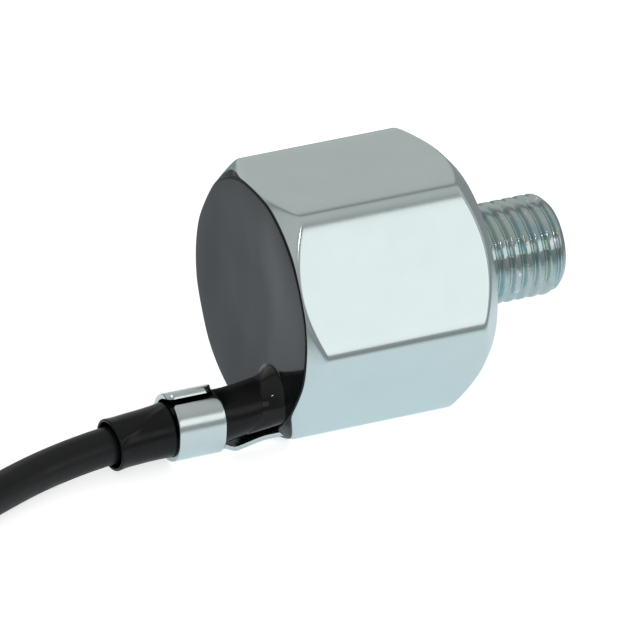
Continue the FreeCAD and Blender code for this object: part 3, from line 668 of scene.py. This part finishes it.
def add_resin(axis):
    """Cast resin with its dished face, its climb onto the sleeve and its spill over the rim."""
    centre = axis.at(RIM)
    turns = [2 * math.pi * k / RESIN_COLUMNS for k in range(RESIN_COLUMNS)]
    directions = [(-math.sin(turn), math.cos(turn)) for turn in turns]
    rays = [(direction, reach_of_resin(centre, direction)) for direction in directions]
    rows = climb_rows(axis, rays) + face_rows(centre, rays)
    outline = [(y, z) for _, y, z in rows[-1]]
    for index in range(1, SPILL_ROWS + 1):
        rows.append([spill_point(y, z, index / SPILL_ROWS) for y, z in outline])
    for station in (RIM + 2 * MOUTH_DEPTH, CAVITY_FLOOR):
        rows.append([(station, *round_body(BORE_RADIUS, math.atan2(-y, z))) for y, z in outline])
    points, faces = solid_grid(rows)
    points = [(x, y, max(z, GROUND)) for x, y, z in points]
    resin = new_mesh("cast_resin", points, faces)
    resin.data.materials.append(resin_gloss())
    resin.data.set_sharp_from_angle(angle=RESIN_CREASE)
    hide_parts("potting_resin")


# Sleeve


SLEEVE_TURNS = [2 * math.pi * k / SLEEVE_COLUMNS for k in range(SLEEVE_COLUMNS)]


def frame_along(line):
    """For each point of a line: the point, and a side and an up direction across the line."""
    frames = []
    for index, point in enumerate(line):
        before = line[max(index - 1, 0)]
        after = line[min(index + 1, len(line) - 1)]
        along = (after - before).normalized()
        side = along.cross(Vector((0, 0, 1))).normalized()
        frames.append((point, side, side.cross(along).normalized()))
    return frames


def ring_round(held, radii):
    """A closed row of points across a line, with one radius for each turn; the first is on top."""
    point, side, up = held
    row = []
    for turn, radius in zip(SLEEVE_TURNS, radii):
        row.append(tuple(point + up * (radius * math.cos(turn)) + side * (radius * math.sin(turn))))
    return row


def sleeve_radius(station, turn):
    """Outer radius of the sleeve at a station and a turn round it."""
    clip_end = strap_low.x
    clip_start = strap_low.x + CLIP_LENGTH
    swell = 0.0
    for edge, way in ((clip_end, -1), (clip_start, 1)):
        away = (station - edge) * way
        if away > 0:
            squeeze = SWELL + SWELL_ON_TOP * max(math.cos(turn), 0.0)
            swell += squeeze * math.exp(-away / SWELL_REACH) * ease(away / SWELL_START)
    place = (station * WAVES_ALONG, WAVES_ROUND * math.cos(turn), WAVES_ROUND * math.sin(turn))
    waves = noise.noise(Vector(place)) * WAVE_HEIGHT
    share = (clip_end - station) / (clip_end - sleeve_low.x)
    from_fold = (turn + math.pi) % (2 * math.pi) - math.pi + between(FOLD_START, FOLD_END, share)
    fold = FOLD_HEIGHT * math.exp(-(from_fold / FOLD_WIDTH) ** 2) * ease(share / FOLD_FADE)
    fold *= ease((1 - share) / FOLD_FADE)
    flare = FLARE * ease((sleeve_low.x + FLARE_RUN - station) / FLARE_RUN)
    return SLEEVE_RADIUS + swell + waves + fold + flare


def sleeve_radii(station):
    """The sleeve's outer radius all round at a station."""
    return [sleeve_radius(station, turn) for turn in SLEEVE_TURNS]


def add_sleeve(axis):
    """The sleeve's skin: along its outside, round its mouth and back along its bore."""
    start = sleeve_high.x
    end = sleeve_low.x + MOUTH_SETBACK
    stations = [between(start, end, k / SLEEVE_ROWS) for k in range(SLEEVE_ROWS + 1)]
    frames = frame_along([axis.at(station) for station in stations])
    rows = []
    for station, held in zip(stations, frames):
        rows.append(ring_round(held, sleeve_radii(station)))
    point, side, up = frames[-1]
    along = (frames[-1][0] - frames[-2][0]).normalized()
    mouth = sleeve_radii(end)
    for step in range(1, MOUTH_ROWS + 1):
        turn_in = math.pi * step / MOUTH_ROWS
        inset = MOUTH_WALL / 2 * (1 - math.cos(turn_in))
        held = (point + along * MOUTH_WALL / 2 * math.sin(turn_in), side, up)
        rows.append(ring_round(held, [radius - inset for radius in mouth]))
    for station, held in list(zip(stations, frames))[-BORE_SKIP::-BORE_SKIP]:
        share = ease((station - end) / BORE_RUN)
        radii = [between(radius - MOUTH_WALL, SLEEVE_BORE, share) for radius in mouth]
        rows.append(ring_round(held, radii))
    points = [point for row in rows for point in row]
    faces = grid_faces(len(rows), SLEEVE_COLUMNS)
    first = (len(rows) - 1) * SLEEVE_COLUMNS
    for column in range(SLEEVE_COLUMNS):
        ahead = (column + 1) % SLEEVE_COLUMNS
        faces.append((first + column, first + ahead, ahead, column))
    sleeve = new_mesh("boot_sleeve", points, faces)
    sleeve.data.materials.append(sleeve_rubber())
    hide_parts("cable_sleeve")


# Strap


def clip_profile(radius, rear_tip):
    """A line across the cable, from the near tip round below to the rear tip."""
    low = GROUND + GROUND_GAP + SHEET + CLIP_INSIDE
    high = low + CLIP_RISE
    arcs = [(NEAR_TIP, 90.0, CLIP_STEPS, high), (90.0, 270.0, 3 * CLIP_STEPS, low),
            (270.0, 360.0 - rear_tip, CLIP_STEPS, high)]
    points = []
    for first, last, count, middle in arcs:
        for k in range(count + 1):
            turn = math.radians(between(first, last, k / count))
            points.append((CABLE_SIDE - radius * math.sin(turn), middle + radius * math.cos(turn)))
    return points


def corner_trim(edge, radius):
    """How far a rounded corner takes the sheet's edge back, at a distance from the sheet's tip."""
    if edge >= radius:
        return 0.0
    return radius - math.sqrt(radius ** 2 - (radius - edge) ** 2)


def strap_rows():
    """Rows along the cable; each has the sheet's outer points and then its inner ones."""
    outer = clip_profile(CLIP_INSIDE + SHEET, REAR_TIP)
    inner = clip_profile(CLIP_INSIDE, REAR_TIP_INSIDE)
    lengths = [0.0]
    for first, second in zip(outer, outer[1:]):
        lengths.append(lengths[-1] + math.dist(first, second))
    back = strap_low.x
    front = back + CLIP_LENGTH
    rows = []
    for row in range(CLIP_ROWS + 1):
        line = []
        for profile in (outer, inner):
            for (y, z), length in zip(profile, lengths):
                from_rear = lengths[-1] - length
                left = corner_trim(from_rear, WING_ROUND) + corner_trim(length, SMALL_ROUND)
                right = corner_trim(min(length, from_rear), WING_ROUND)
                line.append((between(back + left, front - right, row / CLIP_ROWS), y, z))
        rows.append(line)
    return rows, outer, inner, lengths


def tongue_row(away, outer, inner, band):
    """One row of the tongue: it narrows, flattens and then steps up into the body."""
    front = strap_low.x + CLIP_LENGTH
    bottom = GROUND + GROUND_GAP
    narrow = ease(away / NARROW_RUN) ** NARROW_POWER
    flat = ease(away / FLAT_RUN)
    rise = TONGUE_STEP * ease((away - RISE_FROM) / TONGUE_RUN)
    line = []
    for profile, level in ((outer, bottom), (inner, bottom + SHEET)):
        for place, column in enumerate(band):
            across = between(0.5, -0.5, place / (len(band) - 1)) * TONGUE_WIDTH
            y = between(profile[column][0], CABLE_SIDE - across, narrow)
            z = between(profile[column][1], level, flat) + rise
            line.append((front + away, y, z))
    return line


def sheet_faces(before, after):
    """Faces between two rows of a sheet; each row has its outer points and then its inner ones."""
    count = len(before) // 2
    faces = []
    for k in range(count - 1):
        inner = count + k
        faces.append((before[k], before[k + 1], after[k + 1], after[k]))
        faces.append((after[inner], after[inner + 1], before[inner + 1], before[inner]))
    faces.append((before[0], after[0], after[count], before[count]))
    faces.append((before[-1], after[-1], after[count - 1], before[count - 1]))
    return faces


def add_strap():
    """Folded strap: the clip's curled sheet and a tongue that steps up into the body."""
    rows, outer, inner, lengths = strap_rows()
    count = len(outer)
    points = [point for row in rows for point in row]
    places = [list(range(2 * count * k, 2 * count * (k + 1))) for k in range(CLIP_ROWS + 1)]
    faces = []
    for before, after in zip(places, places[1:]):
        faces += sheet_faces(before, after)
    centre = count // 2
    reach = max(k for k in range(centre) if lengths[centre + k] - lengths[centre] < TONGUE_BAND)
    band = list(range(centre - reach, centre + reach + 1))
    last = places[-1]
    for k in range(count - 1):
        faces.append((k + 1, k, count + k, count + k + 1))
        if not band[0] <= k < band[-1]:
            faces.append((last[k], last[k + 1], last[count + k + 1], last[count + k]))
    before = [last[k] for k in band] + [last[count + k] for k in band]
    size = len(band)
    for station in TONGUE_STATIONS:
        first = len(points)
        points += tongue_row(station * MM, outer, inner, band)
        after = list(range(first, first + 2 * size))
        faces += sheet_faces(before, after)
        before = after
    for k in range(size - 1):
        faces.append((before[k], before[k + 1], before[size + k + 1], before[size + k]))
    strap = new_mesh("folded_strap", points, faces)
    soften(strap, SHEET_EDGE, 2, 50)
    strap.data.materials.append(strap_plate())
    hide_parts("strain_relief_strap")


# Materials

# The part of a noise's range that nearly all of it lies in
GRAIN_LOW = 0.3
GRAIN_HIGH = 0.7


def color_ramp(tree, source, stops):
    """Colours along a factor; stops are pairs of place and colour."""
    ramp = tree.nodes.new("ShaderNodeValToRGB")
    while len(ramp.color_ramp.elements) < len(stops):
        ramp.color_ramp.elements.new(0.5)
    for element, (place, color) in zip(ramp.color_ramp.elements, stops):
        element.position = place
        element.color = (*color, 1.0)
    tree.links.new(source, ramp.inputs["Fac"])
    return ramp.outputs["Color"]


class Finish:
    """A material with its main shader and short ways to add nodes to it."""

    def __init__(self, name, color, roughness, metallic=0.0, specular=0.5):
        self.material = bpy.data.materials.new(name)
        self.material.use_nodes = True
        self.tree = self.material.node_tree
        self.nodes = self.tree.nodes
        self.links = self.tree.links
        self.shader = self.nodes["Principled BSDF"]
        self.shader.inputs["Base Color"].default_value = (*color, 1.0)
        self.shader.inputs["Roughness"].default_value = roughness
        self.shader.inputs["Metallic"].default_value = metallic
        self.shader.inputs["Specular IOR Level"].default_value = specular
        self.place = self.nodes.new("ShaderNodeTexCoord").outputs["Object"]

    def stretched(self, scale):
        """Object coordinates multiplied by three numbers."""
        mapping = self.nodes.new("ShaderNodeMapping")
        mapping.inputs["Scale"].default_value = scale
        self.links.new(self.place, mapping.inputs["Vector"])
        return mapping.outputs["Vector"]

    def grain(self, scale, detail=2.0, stretch=(1, 1, 1)):
        """Noise of a given number of grains per metre."""
        texture = self.nodes.new("ShaderNodeTexNoise")
        texture.inputs["Scale"].default_value = scale
        texture.inputs["Detail"].default_value = detail
        self.links.new(self.stretched(stretch), texture.inputs["Vector"])
        return texture.outputs["Fac"]

    def color_from(self, source, stops):
        """Base colour from a factor through a ramp."""
        color = color_ramp(self.tree, source, stops)
        self.links.new(color, self.shader.inputs["Base Color"])

    def roughness_from(self, source, low, high):
        """Roughness between two values over the middle of the grain's range."""
        spread = self.nodes.new("ShaderNodeMapRange")
        spread.inputs["From Min"].default_value = GRAIN_LOW
        spread.inputs["From Max"].default_value = GRAIN_HIGH
        spread.inputs["To Min"].default_value = low
        spread.inputs["To Max"].default_value = high
        self.links.new(source, spread.inputs["Value"])
        self.links.new(spread.outputs["Result"], self.shader.inputs["Roughness"])

    def bump_from(self, source, distance):
        """Relief of a given depth in metres."""
        bump = self.nodes.new("ShaderNodeBump")
        bump.inputs["Distance"].default_value = distance
        self.links.new(source, bump.inputs["Height"])
        self.links.new(bump.outputs["Normal"], self.shader.inputs["Normal"])


def zinc_plate():
    """Bright zinc plate on the cup: satin, faintly mottled."""
    finish = Finish("zinc_plate", (0.69, 0.79, 0.785), 0.18, metallic=1.0)
    finish.color_from(finish.grain(260, 3.0), [(GRAIN_LOW, (0.688, 0.785, 0.778)),
                                               (GRAIN_HIGH, (0.702, 0.802, 0.80))])
    finish.roughness_from(finish.grain(400, 3.0), 0.17, 0.19)
    finish.bump_from(finish.grain(1500, 2.0), 0.001 * MM)
    return finish.material


def stud_plate():
    """Glossier plate on the thread, darkened by painted shade for the thread's own shadow and the
    shaded floor it reflects, with the blue and straw tints of its passivation and near-white specks
    of painted glints.
    """
    # The base colour is darkened as painted shade; the last, near-white stop of the tints paints
    # glints
    finish = Finish("stud_plate", (0.50, 0.62, 0.62), 0.12, metallic=1.0)
    tints_and_painted_glints = [(0.30, (0.42, 0.58, 0.60)), (0.45, (0.50, 0.62, 0.63)), (0.55, (0.54, 0.63, 0.58)),
             (0.66, (0.58, 0.62, 0.70)), (0.72, (0.95, 1.0, 1.0))]
    finish.color_from(finish.grain(700, 3.0), tints_and_painted_glints)
    finish.roughness_from(finish.grain(1600, 3.0), 0.08, 0.2)
    finish.bump_from(finish.grain(2600, 3.0), 0.02 * MM)
    return finish.material


def strap_plate():
    """Zinc plate on the strap's sheet, less bright than the cup's."""
    finish = Finish("strap_plate", (0.73, 0.81, 0.81), 0.21, metallic=1.0)
    finish.color_from(finish.grain(400, 3.0), [(GRAIN_LOW, (0.71, 0.79, 0.78)),
                                               (GRAIN_HIGH, (0.75, 0.83, 0.83))])
    finish.roughness_from(finish.grain(900, 3.0), 0.19, 0.23)
    finish.bump_from(finish.grain(1500, 2.0), 0.001 * MM)
    return finish.material


def resin_gloss():
    """Black cast epoxy, smooth with slow waves."""
    finish = Finish("resin_gloss", (0.010, 0.0105, 0.012), 0.1, specular=0.32)
    finish.roughness_from(finish.grain(300, 2.0), 0.08, 0.14)
    finish.bump_from(finish.grain(100, 1.0, (1, 1, 0.4)), 0.25 * MM)
    return finish.material


def sleeve_rubber():
    """Satin black sleeve."""
    finish = Finish("sleeve_rubber", (0.002, 0.0025, 0.0035), 0.28, specular=0.3)
    finish.roughness_from(finish.grain(700, 3.0), 0.22, 0.34)
    finish.bump_from(finish.grain(500, 3.0, (0.4, 1, 1)), 0.03 * MM)
    return finish.material


def cable_rubber():
    """Dull black jacket with a fine grain."""
    finish = Finish("cable_rubber", (0.003, 0.0036, 0.005), 0.4, specular=0.4)
    finish.roughness_from(finish.grain(800, 3.0), 0.34, 0.46)
    finish.bump_from(finish.grain(1800, 3.0), 0.02 * MM)
    return finish.material


def plastic(name, color, roughness):
    """Moulded plastic or rubber with a fine even texture."""
    finish = Finish(name, color, roughness)
    darker = tuple(0.85 * part for part in color)
    finish.color_from(finish.grain(300, 2.0), [(GRAIN_LOW, darker), (GRAIN_HIGH, color)])
    finish.roughness_from(finish.grain(1500, 3.0), roughness - 0.06, roughness + 0.08)
    finish.bump_from(finish.grain(4000, 2.0), 0.01 * MM)
    return finish.material


def metal(name, color, roughness):
    """Bare metal with fine turning or rolling marks."""
    finish = Finish(name, color, roughness, metallic=1.0)
    darker = tuple(0.9 * part for part in color)
    finish.color_from(finish.grain(300, 3.0), [(GRAIN_LOW, darker), (GRAIN_HIGH, color)])
    finish.roughness_from(finish.grain(1200, 4.0, (6, 1, 1)), roughness - 0.05, roughness + 0.1)
    finish.bump_from(finish.grain(3000, 2.0, (6, 1, 1)), 0.004 * MM)
    return finish.material


# Widths of the softened edges of CAD nodes, in millimetres
NODE_EDGES = {"connector_housing": 0.25, "cable_tie": 0.12, "interface_seal": 0.2,
              "terminal_lock": 0.12}


def dress_nodes():
    """Materials and softened edges for the CAD nodes that are shown as they are."""
    brass = metal("contact_brass", (0.78, 0.66, 0.40), 0.25)
    steel = metal("plain_steel", (0.55, 0.56, 0.57), 0.3)
    film = plastic("insulator_film", (0.75, 0.62, 0.35), 0.35)
    seal = plastic("seal_rubber", (0.55, 0.13, 0.05), 0.4)
    body = plastic("connector_plastic", (0.035, 0.035, 0.037), 0.42)
    finishes = {
        "cable_tie": plastic("tie_plastic", (0.04, 0.04, 0.042), 0.4),
        "lower_insulator": film, "upper_insulator": film, "insulating_tube": film,
        "lower_contact": brass, "upper_contact": brass,
        "terminal_right": brass, "terminal_left": brass,
        "piezo_ring": plastic("piezo_ceramic", (0.55, 0.50, 0.38), 0.5),
        "seismic_mass": steel, "disc_spring": steel, "clamp_screw": steel,
        "shunt_resistor": plastic("resistor_body", (0.45, 0.60, 0.70), 0.25),
        "signal_wire": plastic("wire_white", (0.85, 0.85, 0.82), 0.4),
        "ground_wire": plastic("wire_black", (0.04, 0.04, 0.04), 0.4),
        "connector_housing": body, "wire_seal": seal, "interface_seal": seal,
        "terminal_lock": plastic("lock_plastic", (0.45, 0.46, 0.47), 0.4),
    }
    for name, material in finishes.items():
        node = nodes[name]
        node.data.materials.clear()
        node.data.materials.append(material)
    for name, width in NODE_EDGES.items():
        soften(nodes[name], width * MM, 3, 35)


# Surroundings

# Floor: white to the camera; reflections see a painted pool of light on it, pale and glowing round
# the part, and painted shade further off
FLOOR_REACH = 3.0
FLOOR_COLOR = (0.85, 0.86, 0.87)
CAMERA_GLOW = 0.72
POOL_GLOW = 0.43
POOL_CENTRE = Vector((-15.0, 10.0, -12.0)) * MM
POOL_REACH = 120.0 * MM
POOL_STOPS = [(0.0, (0.86, 0.93, 0.98)), (0.30, (0.80, 0.86, 0.90)), (0.42, (0.57, 0.61, 0.63)),
              (0.60, (0.28, 0.30, 0.31))]


def matt(tree, color):
    """A plain matt shader."""
    shader = tree.nodes.new("ShaderNodeBsdfDiffuse")
    shader.inputs["Color"].default_value = (*color, 1.0)
    return shader


def glowing(tree, shader, strength):
    """A shader with light added to it; gives the light's node and the sum."""
    glow = tree.nodes.new("ShaderNodeEmission")
    glow.inputs["Strength"].default_value = strength
    both = tree.nodes.new("ShaderNodeAddShader")
    tree.links.new(shader.outputs["BSDF"], both.inputs[0])
    tree.links.new(glow.outputs["Emission"], both.inputs[1])
    return glow, both.outputs["Shader"]


def mixed(tree, share, first, second):
    """The second shader where the share is 1, else the first."""
    mix = tree.nodes.new("ShaderNodeMixShader")
    tree.links.new(share, mix.inputs["Fac"])
    tree.links.new(first, mix.inputs[1])
    tree.links.new(second, mix.inputs[2])
    return mix.outputs["Shader"]


def painted_pool_color(tree):
    """Painted light of the floor by distance from the part: a painted pool of light round it,
    painted shade further off.
    """
    place = tree.nodes.new("ShaderNodeNewGeometry")
    away = tree.nodes.new("ShaderNodeVectorMath")
    away.operation = "DISTANCE"
    away.inputs[1].default_value = POOL_CENTRE
    tree.links.new(place.outputs["Position"], away.inputs[0])
    share = tree.nodes.new("ShaderNodeMath")
    share.operation = "DIVIDE"
    share.inputs[1].default_value = POOL_REACH
    tree.links.new(away.outputs["Value"], share.inputs[0])
    return color_ramp(tree, share.outputs["Value"], POOL_STOPS)


def add_floor():
    """A floor that diffuse rays see as plain matt, so that it keeps the part's shadow."""
    corners = [(-1, -1), (1, -1), (1, 1), (-1, 1)]
    points = [(x * FLOOR_REACH, y * FLOOR_REACH, GROUND) for x, y in corners]
    mesh = bpy.data.meshes.new("floor")
    mesh.from_pydata(points, [], [(0, 1, 2, 3)])
    floor = bpy.data.objects.new("floor", mesh)
    bpy.context.scene.collection.objects.link(floor)
    material = bpy.data.materials.new("pale_floor")
    material.use_nodes = True
    tree = material.node_tree
    tree.nodes.remove(tree.nodes["Principled BSDF"])
    plain = matt(tree, FLOOR_COLOR)
    _, shown = glowing(tree, matt(tree, FLOOR_COLOR), CAMERA_GLOW)
    # What reflections see: the floor with a painted pool of light that glows round the part and
    # painted shade further off
    pool = matt(tree, FLOOR_COLOR)
    pool_glow, mirrored = glowing(tree, pool, POOL_GLOW)
    color = painted_pool_color(tree)
    tree.links.new(color, pool.inputs["Color"])
    tree.links.new(color, pool_glow.inputs["Color"])
    path = tree.nodes.new("ShaderNodeLightPath")
    either = tree.nodes.new("ShaderNodeMath")
    either.operation = "MAXIMUM"
    tree.links.new(path.outputs["Is Glossy Ray"], either.inputs[0])
    tree.links.new(path.outputs["Is Transmission Ray"], either.inputs[1])
    floor_seen = mixed(tree, either.outputs["Value"], plain.outputs["BSDF"], mirrored)
    floor_seen = mixed(tree, path.outputs["Is Camera Ray"], floor_seen, shown)
    tree.links.new(floor_seen, tree.nodes["Material Output"].inputs["Surface"])
    mesh.materials.append(material)


# Grey of the surroundings from the camera's side at -1 to the far side at 1, a little green
WALL_STOPS = [(-1.0, 0.28), (-0.75, 0.32), (-0.5, 0.46), (0.0, 0.51), (0.45, 0.48), (0.58, 0.26),
              (0.66, 0.26), (0.74, 0.52), (1.0, 0.56)]
WALL_GREEN = 1.01


def add_world():
    """A grey studio with a lighter far wall; the camera sees plain white."""
    world = bpy.data.worlds.new("studio")
    bpy.context.scene.world = world
    world.use_nodes = True
    tree = world.node_tree
    wall = tree.nodes["Background"]
    direction = tree.nodes.new("ShaderNodeTexCoord")
    split = tree.nodes.new("ShaderNodeSeparateXYZ")
    tree.links.new(direction.outputs["Generated"], split.inputs["Vector"])
    share = tree.nodes.new("ShaderNodeMapRange")
    share.inputs["From Min"].default_value = -1.0
    tree.links.new(split.outputs["Y"], share.inputs["Value"])
    stops = [((place + 1) / 2, (grey, WALL_GREEN * grey, grey)) for place, grey in WALL_STOPS]
    greys = color_ramp(tree, share.outputs["Result"], stops)
    tree.links.new(greys, wall.inputs["Color"])
    white = tree.nodes.new("ShaderNodeBackground")
    white.inputs["Color"].default_value = (1.0, 1.0, 1.0, 1.0)
    path = tree.nodes.new("ShaderNodeLightPath")
    seen = mixed(tree, path.outputs["Is Camera Ray"], wall.outputs["Background"],
                 white.outputs["Background"])
    tree.links.new(seen, tree.nodes["World Output"].inputs["Surface"])


# Lamps round the origin: azimuth and elevation in degrees, distance, width, height, and how
# bright they look; one wide and soft for the front flat, one small for the sparks on edges
SOFTBOXES = {
    "front_box": (-27, 22.5, 0.9, 0.9, 0.32, 0.8),
    "spark": (25, 44, 0.9, 0.045, 0.035, 70.0),
}


def add_softbox(name, azimuth, elevation, distance, width, height, level):
    """A rectangular lamp that faces the origin."""
    data = bpy.data.lights.new(name, "AREA")
    data.shape = "RECTANGLE"
    data.size = width
    data.size_y = height
    data.energy = level * math.pi * width * height
    lamp = bpy.data.objects.new(name, data)
    turn = turn_of_view(azimuth, elevation)
    lamp.matrix_world = Matrix.Translation(turn.to_3x3() @ Vector((0, 0, distance))) @ turn
    bpy.context.scene.collection.objects.link(lamp)


bpy.context.scene.view_settings.view_transform = "Standard"
add_camera()
cable_axis = Axis()
add_cable()
add_housing()
add_resin(cable_axis)
add_sleeve(cable_axis)
add_strap()
dress_nodes()
add_floor()
add_world()
for lamp_name, placing in SOFTBOXES.items():
    add_softbox(lamp_name, *placing)
